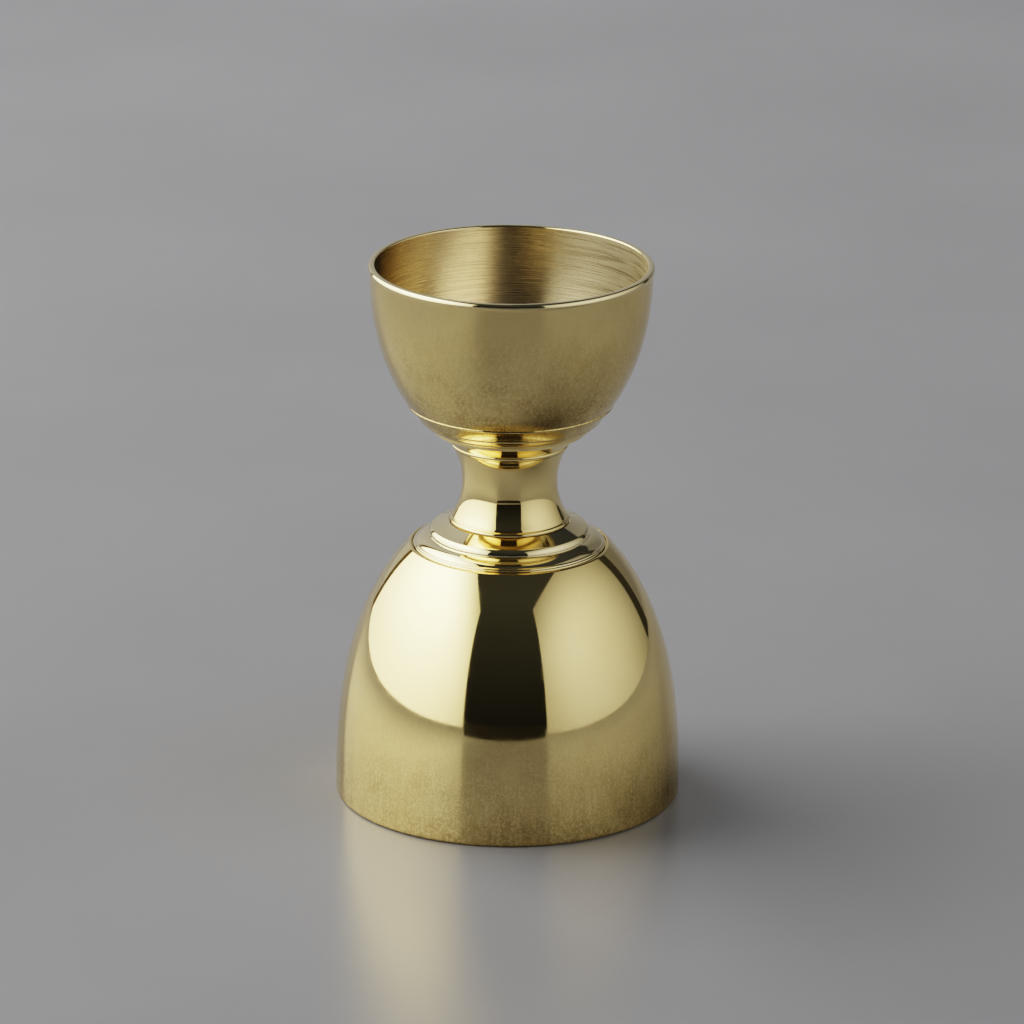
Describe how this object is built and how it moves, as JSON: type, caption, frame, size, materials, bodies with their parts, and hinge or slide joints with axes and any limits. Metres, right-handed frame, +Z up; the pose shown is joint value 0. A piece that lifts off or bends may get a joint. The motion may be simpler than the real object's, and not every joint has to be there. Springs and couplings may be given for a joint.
{
  "type": "bar jigger",
  "caption": "Bar measure: a rounded cup above and a larger hollow bell below, joined by a concave turned waist between stepped collars. It stands on either rim.",
  "frame": {"origin": "centre of the bell's base circle, on the surface the jigger stands on", "axes": "+Z up the common axis, from the bell's mouth to the small cup's lip; X and Y are equivalent"},
  "size_m": [0.0554, 0.0554, 0.088],
  "materials": {
    "polished_brass": "polished outside, brushed in the round inside the cup",
    "machined_brass": "as turned",
    "silver_braze": "brazing alloy, as flowed",
    "plated_steel": "zinc plated"
  },
  "bodies": {
    "root": {"large_cup": "polished_brass", "shoulder_collar": "polished_brass", "waist": "polished_brass", "cup_collar": "polished_brass", "small_cup": "polished_brass", "large_cup_boss": "machined_brass", "small_cup_boss": "machined_brass", "large_cup_braze": "silver_braze", "small_cup_braze": "silver_braze", "tie_stud": "plated_steel"}
  },
  "joints": []
}
